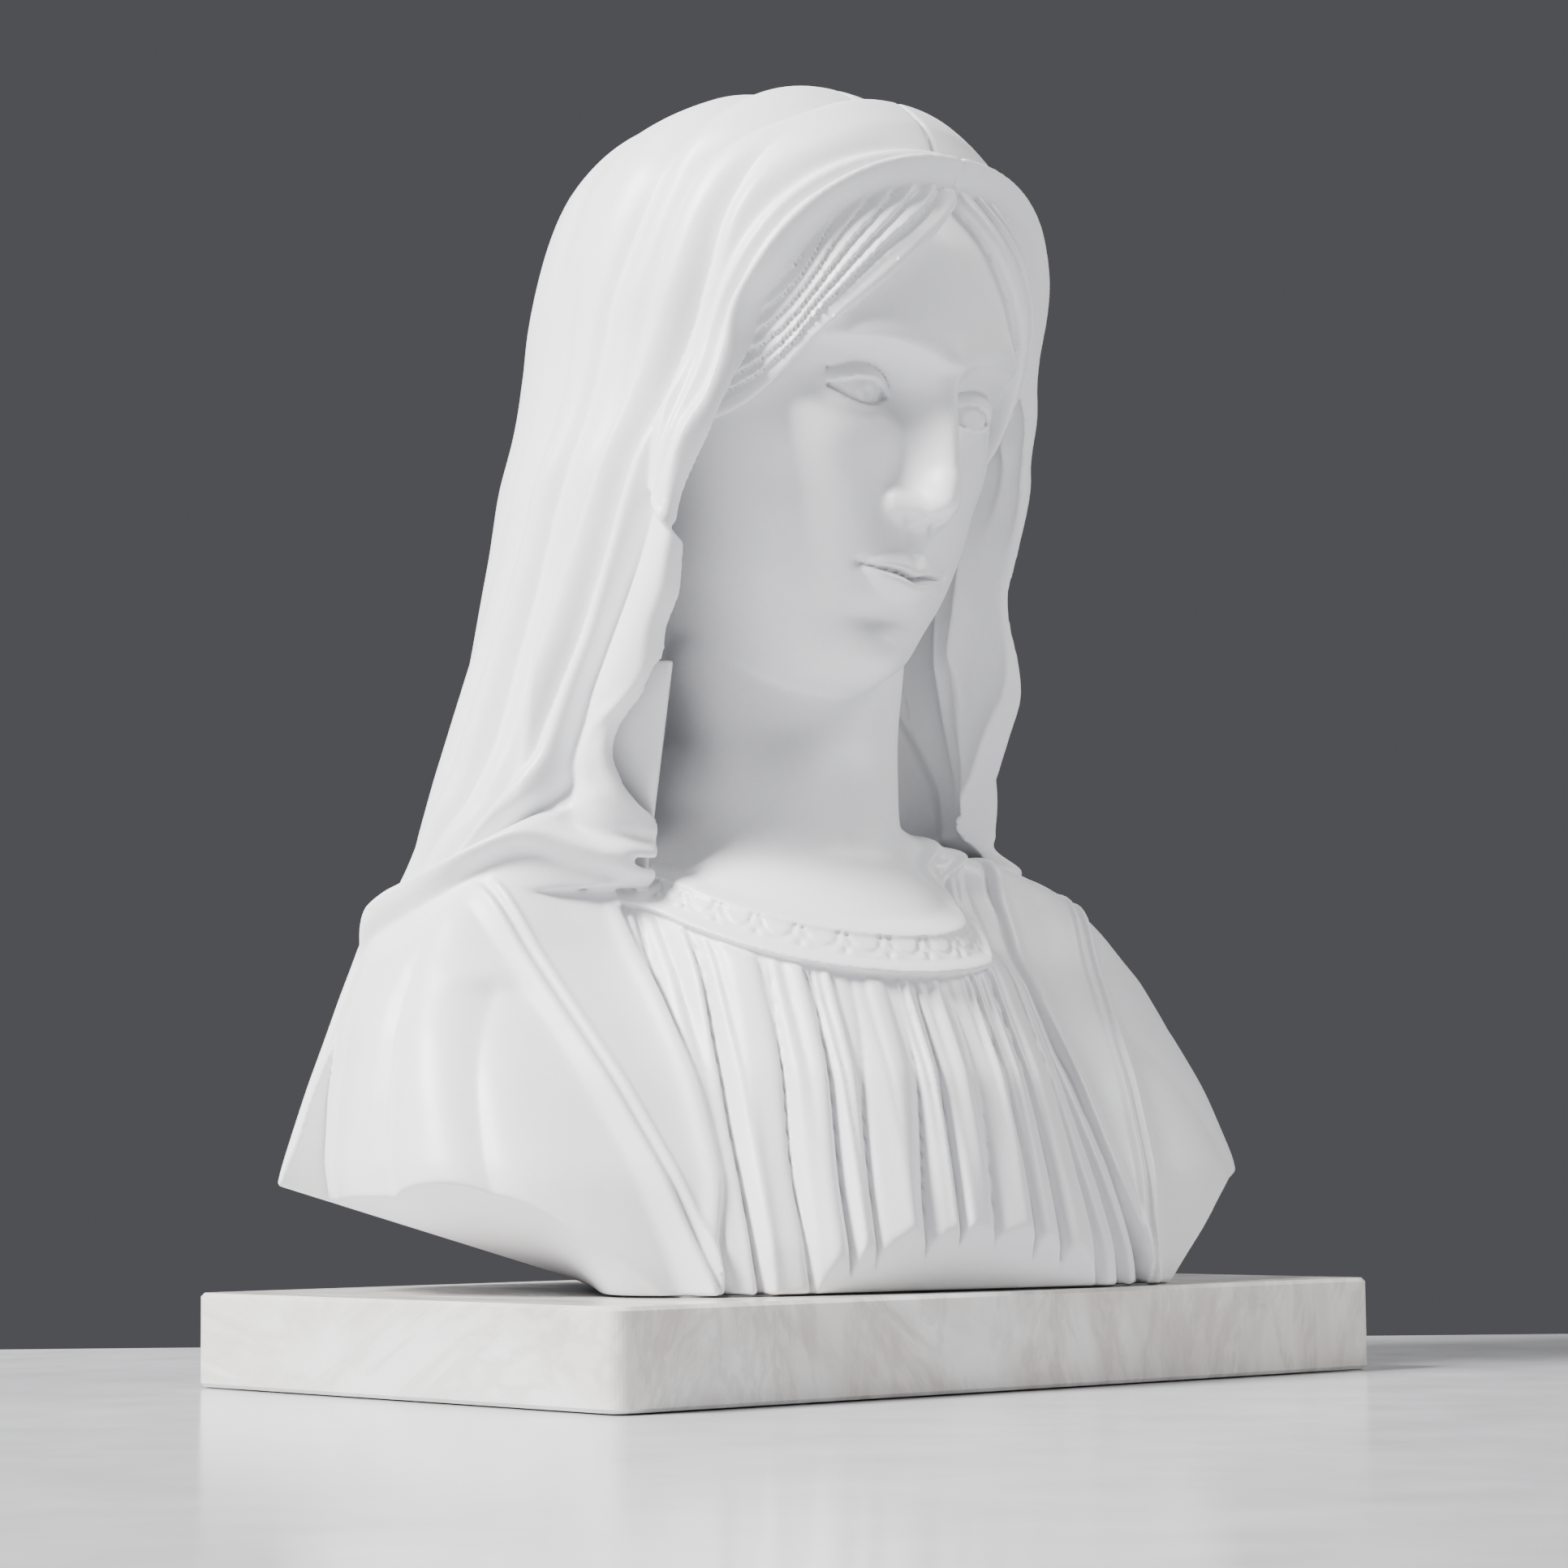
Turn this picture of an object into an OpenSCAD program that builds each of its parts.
// Veiled marble bust on a rectangular stone slab, held by a stud from below.
// +Z up, front of the slab towards -Y, origin at the centre of the slab's resting plane.
// All sizes are in millimetres.

/* [Base slab] */
// Length of the slab along X
slab_length = 320; // [266:1:384]
// Width of the slab along Y
slab_width = 222; // [185:1:267]
// Thickness of the slab
slab_thickness = 30; // [25:0.5:40]
// Radius of the slab's upright corners
slab_corner_radius = 6; // [2:0.5:15]
// Eased edge round the top and bottom faces
slab_bevel = 1.2; // [0.5:0.1:3]

/* [Bust] */
// Height of the bust above its foot
bust_height = 397; // [330:1:477]
// Width across both arms
arm_span = 306; // [255:1:368]
// Depth from the stud's axis to the front of the chest
chest_depth = 109; // [100:1:131]
// Width of the veil where it spreads over the back
veil_span = 310; // [258:1:372]
// Depth from the stud's axis to the lower back of the veil
veil_depth = 88; // [82:1:106]
// Distance from the stud's axis to the straight front of the foot
foot_front = 100; // [84:1:120]
// Distance from the stud's axis to the slanted front corners of the foot
foot_corner = 124; // [104:1:140]
// Distance from the stud's axis to the sides of the foot, which narrow towards the back
foot_side = 63; // [62:1:76]
// Distance from the stud's axis to the back of the foot
foot_back = 68; // [64:1:82]
// Radius of the neck
neck_radius = 42; // [36:1:50]
// Width of the head without the veil
head_width = 122; // [105:1:135]
// Thickness of the veil's cloth over the head
veil_thickness = 12; // [8:0.5:18]
// Turn of the bust on its slab, seen from above
bust_turn = -10; // [-14:1:0]
// Turn of the head on the shoulders
head_turn = 12; // [0:1:20]

/* [Casting] */
// Least stone left over the hollow
casting_wall = 16; // [12:1:22]
// Radius of the plug that closes the hollow
plug_radius = 50; // [45:1:52]
// Height of the plug
plug_height = 30; // [24:1:36]
// Bond line between the plug and the casting
plug_gap = 0.4; // [0.2:0.1:1]
// Thickness of the setting compound under the foot
bed_thickness = 0.7; // [0.4:0.1:2]
// Distance of the setting compound inside the foot's edge
bed_inset = 3; // [1:0.5:8]

/* [Stud and nut] */
// Diameter of the stud's thread
stud_diameter = 10; // [8:1:12]
// Pitch of the thread
stud_pitch = 1.5; // [1.25:0.25:1.75]
// Running clearance round the thread
thread_gap = 0.05; // [0.02:0.01:0.2]
// Diameter of the clear hole through the slab
clear_hole = 12; // [11:0.5:16]
// Diameter of the recess for the nut
recess_diameter = 38; // [34:1:46]
// Depth of the recess for the nut
recess_depth = 15; // [14:0.5:17]
// Outside diameter of the bearing washer
washer_diameter = 30; // [24:1:32]
// Thickness of the bearing washer
washer_thickness = 2.5; // [1.5:0.1:3]
// Thickness of the spring washer
spring_thickness = 2.2; // [1.6:0.1:2.6]
// Width of the hex nut across its flats
nut_flats = 17; // [15:0.5:19]
// Height of the hex nut
nut_height = 8; // [6.5:0.1:8]
// Outside diameter of the brass anchor
anchor_diameter = 18; // [16:0.5:24]
// Length of the brass anchor
anchor_length = 24; // [18:1:28]

/* [Locating pins] */
// Diameter of each locating pin
pin_diameter = 6; // [4:0.5:8]
// Length of each locating pin
pin_length = 26; // [18:1:30]
// Distance of each pin from the stud's axis
pin_offset = 38; // [30:1:40]
// Gap round each pin
pin_gap = 0.06; // [0.02:0.01:0.2]

/* [Felt pads] */
// Diameter of each felt pad
pad_diameter = 24; // [16:1:30]
// Thickness of each felt pad
pad_thickness = 3; // [2.5:0.5:5]
// Distance that each pad stands proud of the slab
pad_proud = 0.5; // [0.3:0.1:2]
// Distance of each pad's centre from the slab's edges
pad_margin = 28; // [20:1:40]
// Gap round each pad in its pocket
pad_gap = 0.3; // [0.1:0.1:1]

/* [Hidden] */
$fn = 96;

// Heights worked out from the sizes above
slab_bottom = pad_proud;
slab_top = slab_bottom + slab_thickness;
foot_z = slab_top + bed_thickness;
crown_z = foot_z + bust_height;
recess_top = slab_bottom + recess_depth;
washer_z = recess_top - washer_thickness;
spring_z = washer_z - spring_thickness;
nut_z = spring_z - nut_height;
stud_radius = stud_diameter / 2;
pin_radius = pin_diameter / 2;
pin_z = foot_z - pin_length / 2;

// The bust is a stack of rings round the upright axis of its stud. Where two shapes meet they
// blend over the softness in millimetres, and the veil's edge rises over twice the hem slope
columns = 64;
rings = 50;
softness = 10;
hem_slope = 9;

// Landmarks of the figure, as heights above the foot
cut_front = 11;
cut_side = 36;
collar_h = 0.35 * bust_height;
chin_h = 0.484 * bust_height;
brow_h = 0.735 * bust_height;
hem_h = 0.885 * bust_height;
hood_h = 0.778 * bust_height;

function mix(a, b, t) = a + (b - a) * t;
function share(a, b, x) = max(0, min(1, (x - a) / (b - a)));
function ease(a, b, x) = let (t = share(a, b, x)) t * t * (3 - 2 * t);
function soft_max(a, b) =
    let (near = max(0, softness - abs(a - b)) / softness)
    max(a, b) + near * near * softness / 4;

// Distance from the axis to a squared oval, with its own depth in front and behind
function oval(turn, half_width, front, back, power) =
    let (depth = cos(turn) > 0 ? front : back)
    pow(pow(abs(sin(turn)) / half_width, power) + pow(abs(cos(turn)) / depth, power), -1 / power);

// Trunk: ovals from the cut edge up to the root of the neck
function trunk(turn, h) =
    let (up = share(cut_front, collar_h + 12, h),
         half = mix(arm_span / 2, neck_radius, pow(up, 2.4)),
         front = mix(chest_depth, neck_radius - 4, pow(up, 1.9)),
         back = mix(veil_depth - 12, neck_radius, pow(up, 3)))
    oval(turn, half, front, back, 2.1);

// Neck: a round column, a little behind the axis
function neck(turn, h) = neck_radius - 8 * cos(turn) + 8 * ease(chin_h - 40, chin_h - 70, h);

// Head: an egg whose chin is set back from its brow
function head(turn, h) =
    let (t = (h - chin_h) / (bust_height - veil_thickness - chin_h),
         swell = t <= 0 || t >= 1 ? 0 : pow(sin(180 * pow(t, 0.72)), 0.5))
    swell <= 0 ? 0 : oval(turn, swell * head_width / 2, swell * mix(80, 90, t), swell * 80, 2.2);

// Veil: a hood over the head that spreads towards the shoulders and the back
function veil(turn, h) =
    let (over = share(hood_h, bust_height, h),
         dome = sqrt(max(0, 1 - pow(over, 2.3))),
         spread = pow(1 - share(cut_side, hood_h, h), 1.15),
         hood = head_width / 2 + veil_thickness + 4,
         half = dome * mix(hood, veil_span / 2, spread),
         front = dome * mix(96, 60, ease(brow_h, collar_h, h)),
         back = dome * mix(96, veil_depth, spread))
    oval(turn, half, front, back, mix(2.2, 3.2, spread));

// Half of the veil's opening, in degrees either side of the face
function opening(h) =
    let (arch = sqrt(max(0, 1 - pow(share(brow_h, hem_h, h), 2))))
    mix(72, 52, ease(collar_h, chin_h, h)) * arch - (hem_slope + 2) * share(hem_h - 6, hem_h + 6, h);

// Radius of the finished outside at a height above the foot
function skin(turn, h) =
    let (look = turn - head_turn * ease(chin_h - 50, chin_h, h),
         off = abs(look > 180 ? look - 360 : look),
         cloth = veil(look, h) * ease(opening(h) - hem_slope, opening(h) + hem_slope, off),
         body = h < collar_h + 12 ? trunk(turn, h) : 0,
         throat = h < chin_h + 30 ? neck(turn, h) : 0)
    soft_max(cloth, soft_max(soft_max(body, throat), head(look, h)));

// Height of the cut edge under the drapery, which rises from the front to the arms
function cut_height(turn) = mix(cut_front, cut_side, pow(abs(sin(turn)), 1.5));

// The foot is a six-sided outline with rounded corners, as [direction, distance] of each side
foot_sides = [
    [0, foot_front], [56, foot_corner], [-56, foot_corner],
    [118, foot_side], [-118, foot_side], [180, foot_back]
];
foot_rounding = 14;

function side_share(turn, foot_edge, inset) =
    pow(max(0, cos(turn - foot_edge[0])) / (foot_edge[1] - inset), foot_rounding);

function foot_radius(turn, inset = 0) =
    pow([for (foot_edge = foot_sides) side_share(turn, foot_edge, inset)] * [1, 1, 1, 1, 1, 1],
        -1 / foot_rounding);

function at_angle(turn, radius, z) = [radius * sin(turn), -radius * cos(turn), z];
function turn_of(j) = 360 * j / columns;

function ring_height(i, turn) =
    let (t = (i - 1) / (rings - 1))
    mix(cut_height(turn), bust_height - 0.4, sin(90 * pow(t, 0.92)));

function outer_ring(i) = [
    for (j = [0:columns - 1])
        let (turn = turn_of(j), h = i == 0 ? 0 : ring_height(i, turn))
        at_angle(turn, i == 0 ? foot_radius(turn) : skin(turn, h), foot_z + h)
];

// The hollow, as [height above the foot, half width, front, back]
mouth = plug_radius + plug_gap;
head_hollow = head_width / 2 - casting_wall;
hollow_rows = [
    [0, mouth, mouth, mouth],
    [plug_height, mouth, mouth, mouth],
    [plug_height + 14, 86, 74, 58],
    [0.2 * bust_height, 86, 68, 58],
    [0.3 * bust_height, 56, 40, 50],
    [0.37 * bust_height, neck_radius - casting_wall, 12, 42],
    [0.47 * bust_height, neck_radius - casting_wall, 12, 46],
    [0.57 * bust_height, head_hollow, 30, 66],
    [0.78 * bust_height, head_hollow, 50, 66],
    [0.88 * bust_height, 30, 34, 44],
    [bust_height - veil_thickness - casting_wall, 8, 8, 8]
];

function hollow_ring(row) = [
    for (j = [0:columns - 1])
        at_angle(turn_of(j), oval(turn_of(j), row[1], row[2], row[3], 2), foot_z + row[0])
];

function strip(a, b) = [
    for (j = [0:columns - 1])
        let (k = (j + 1) % columns)
        each [[a + j, a + k, b + k], [a + j, b + k, b + j]]
];

function fan(tip, a) = [for (j = [0:columns - 1]) [tip, a + (j + 1) % columns, a + j]];
function flip(triangles) = [for (t = triangles) [t[0], t[2], t[1]]];

module bust_casting() {
    last_row = hollow_rows[len(hollow_rows) - 1];
    points = concat(
        [for (i = [0:rings]) each outer_ring(i)],
        [for (row = hollow_rows) each hollow_ring(row)],
        [[0, 0, crown_z], [0, 0, foot_z + last_row[0] + 2]]
    );
    crown = len(points) - 2;
    top_ring = rings * columns;
    first_hollow = (rings + 1) * columns;
    last_hollow = crown - columns;
    faces = concat(
        [for (i = [1:rings]) each strip(i * columns, (i - 1) * columns)],
        fan(crown, top_ring),
        strip(0, first_hollow),
        [for (a = [first_hollow:columns:last_hollow - columns]) each strip(a, a + columns)],
        flip(fan(crown + 1, last_hollow))
    );
    color("whitesmoke") rotate([0, 0, bust_turn]) polyhedron(points, faces);
}

// Rounded rectangle centred on the origin
module rounded_rectangle(length, width, radius) {
    square([length - 2 * radius, width], center = true);
    square([length, width - 2 * radius], center = true);
    for (x = [-1, 1], y = [-1, 1])
        translate([x * (length / 2 - radius), y * (width / 2 - radius)]) circle(radius);
}

// Slab with its edges eased by a stepped cone round every corner
module slab_blank() {
    inner_length = slab_length - 2 * slab_corner_radius;
    inner_width = slab_width - 2 * slab_corner_radius;
    small = slab_corner_radius - slab_bevel;
    hull()
        for (x = [-1, 1], y = [-1, 1])
            translate([x * inner_length / 2, y * inner_width / 2, slab_bottom]) {
                translate([0, 0, slab_bevel])
                    cylinder(h = slab_thickness - 2 * slab_bevel, r = slab_corner_radius, $fn = 32);
                cylinder(h = slab_thickness, r = small, $fn = 32);
            }
}

module in_bust_frame() {
    rotate([0, 0, bust_turn]) children();
}

module at_pins() {
    for (side = [-1, 1])
        in_bust_frame() translate([side * pin_offset, 0, 0]) children();
}

module at_pad(x, y) {
    translate([x * (slab_length / 2 - pad_margin), y * (slab_width / 2 - pad_margin), 0]) children();
}

module base_slab() {
    color("linen") difference() {
        slab_blank();
        translate([0, 0, slab_bottom - 1]) cylinder(h = slab_thickness + 2, d = clear_hole);
        translate([0, 0, slab_bottom - 1]) cylinder(h = recess_depth + 1, d = recess_diameter);
        at_pins() translate([0, 0, pin_z - 1])
            cylinder(h = slab_top - pin_z + 2, r = pin_radius + pin_gap);
        for (x = [-1, 1], y = [-1, 1])
            at_pad(x, y) translate([0, 0, slab_bottom - 1])
                cylinder(h = pad_thickness - pad_proud + 1, d = pad_diameter + 2 * pad_gap);
    }
}

module foot_plug() {
    color("gainsboro") difference() {
        translate([0, 0, foot_z]) cylinder(h = plug_height, r = plug_radius);
        translate([0, 0, foot_z - 1]) cylinder(h = anchor_length + 1, d = anchor_diameter);
        translate([0, 0, foot_z - 1]) cylinder(h = plug_height + 2, r = stud_radius + 1);
        at_pins() translate([0, 0, foot_z - 1])
            cylinder(h = pin_length / 2 + 2, r = pin_radius + pin_gap);
    }
}

// Sleeve with keying grooves, turned from bar
module brass_anchor() {
    groove = 1.2;
    outer = anchor_diameter / 2 - thread_gap;
    bore = stud_radius + thread_gap;
    color("goldenrod") difference() {
        translate([0, 0, foot_z]) cylinder(h = anchor_length, r = outer);
        translate([0, 0, foot_z - 1]) cylinder(h = anchor_length + 2, r = bore);
        for (z = [anchor_length * 0.3, anchor_length * 0.7])
            translate([0, 0, foot_z + z]) rotate_extrude()
                translate([outer - groove, -groove]) square([groove + 1, 2 * groove]);
    }
}

// Threaded bar: a revolved row of thread crests
module threaded_stud() {
    bottom = nut_z - 1;
    turns = floor((foot_z + anchor_length - 1 - bottom) / stud_pitch);
    root = stud_radius - 0.61 * stud_pitch;
    profile = concat(
        [[0, 0], [root, 0]],
        [for (i = [0:turns - 1]) each [
            [root, (i + 0.1) * stud_pitch],
            [stud_radius, (i + 0.45) * stud_pitch],
            [stud_radius, (i + 0.55) * stud_pitch],
            [root, (i + 0.9) * stud_pitch]
        ]],
        [[root, turns * stud_pitch], [0, turns * stud_pitch]]
    );
    color("silver") translate([0, 0, bottom]) rotate_extrude() polygon(profile);
}

module locating_pin(side) {
    tip = 0.8;
    color("darkgray") in_bust_frame() translate([side * pin_offset, 0, pin_z]) rotate_extrude()
        polygon([
            [0, 0], [pin_radius - tip, 0], [pin_radius, tip],
            [pin_radius, pin_length - tip], [pin_radius - tip, pin_length], [0, pin_length]
        ]);
}

module locating_pin_left() {
    locating_pin(1);
}

module locating_pin_right() {
    locating_pin(-1);
}

// Thin layer of setting compound, cut round the pins and the plug
module setting_bed() {
    color("dimgray") translate([0, 0, slab_top]) linear_extrude(bed_thickness)
        difference() {
            rotate(bust_turn) polygon([
                for (j = [0:columns - 1])
                    let (p = at_angle(turn_of(j), foot_radius(turn_of(j), bed_inset), 0)) [p[0], p[1]]
            ]);
            circle(plug_radius - 3);
        }
}

module bearing_washer() {
    color("silver") translate([0, 0, washer_z]) difference() {
        cylinder(h = washer_thickness, d = washer_diameter);
        translate([0, 0, -1]) cylinder(h = washer_thickness + 2, r = stud_radius + 0.4);
    }
}

// Split ring under the nut
module spring_washer() {
    split = 1.5;
    color("darkgray") translate([0, 0, spring_z]) difference() {
        cylinder(h = spring_thickness, r = stud_radius + 4);
        translate([0, 0, -1]) cylinder(h = spring_thickness + 2, r = stud_radius + 0.2);
        rotate([0, 0, 40]) translate([0, -split / 2, -1])
            cube([stud_radius + 6, split, spring_thickness + 2]);
    }
}

module hex_nut() {
    across_corners = nut_flats / cos(30);
    color("silver") translate([0, 0, nut_z]) difference() {
        intersection() {
            cylinder(h = nut_height, d = across_corners, $fn = 6);
            rotate_extrude() polygon([
                [0, 0], [nut_flats / 2 - 0.3, 0], [across_corners / 2, 1.2],
                [across_corners / 2, nut_height - 1.2], [nut_flats / 2 - 0.3, nut_height],
                [0, nut_height]
            ]);
        }
        translate([0, 0, -1]) cylinder(h = nut_height + 2, r = stud_radius + thread_gap);
    }
}

module felt_pad(x, y) {
    color("saddlebrown") at_pad(x, y) cylinder(h = pad_thickness, d = pad_diameter);
}

base_slab();
bust_casting();
foot_plug();
brass_anchor();
threaded_stud();
locating_pin_left();
locating_pin_right();
setting_bed();
bearing_washer();
spring_washer();
hex_nut();
felt_pad(-1, -1);  // felt_pad_front_left
felt_pad(1, -1);  // felt_pad_front_right
felt_pad(-1, 1);  // felt_pad_back_left
felt_pad(1, 1);  // felt_pad_back_right
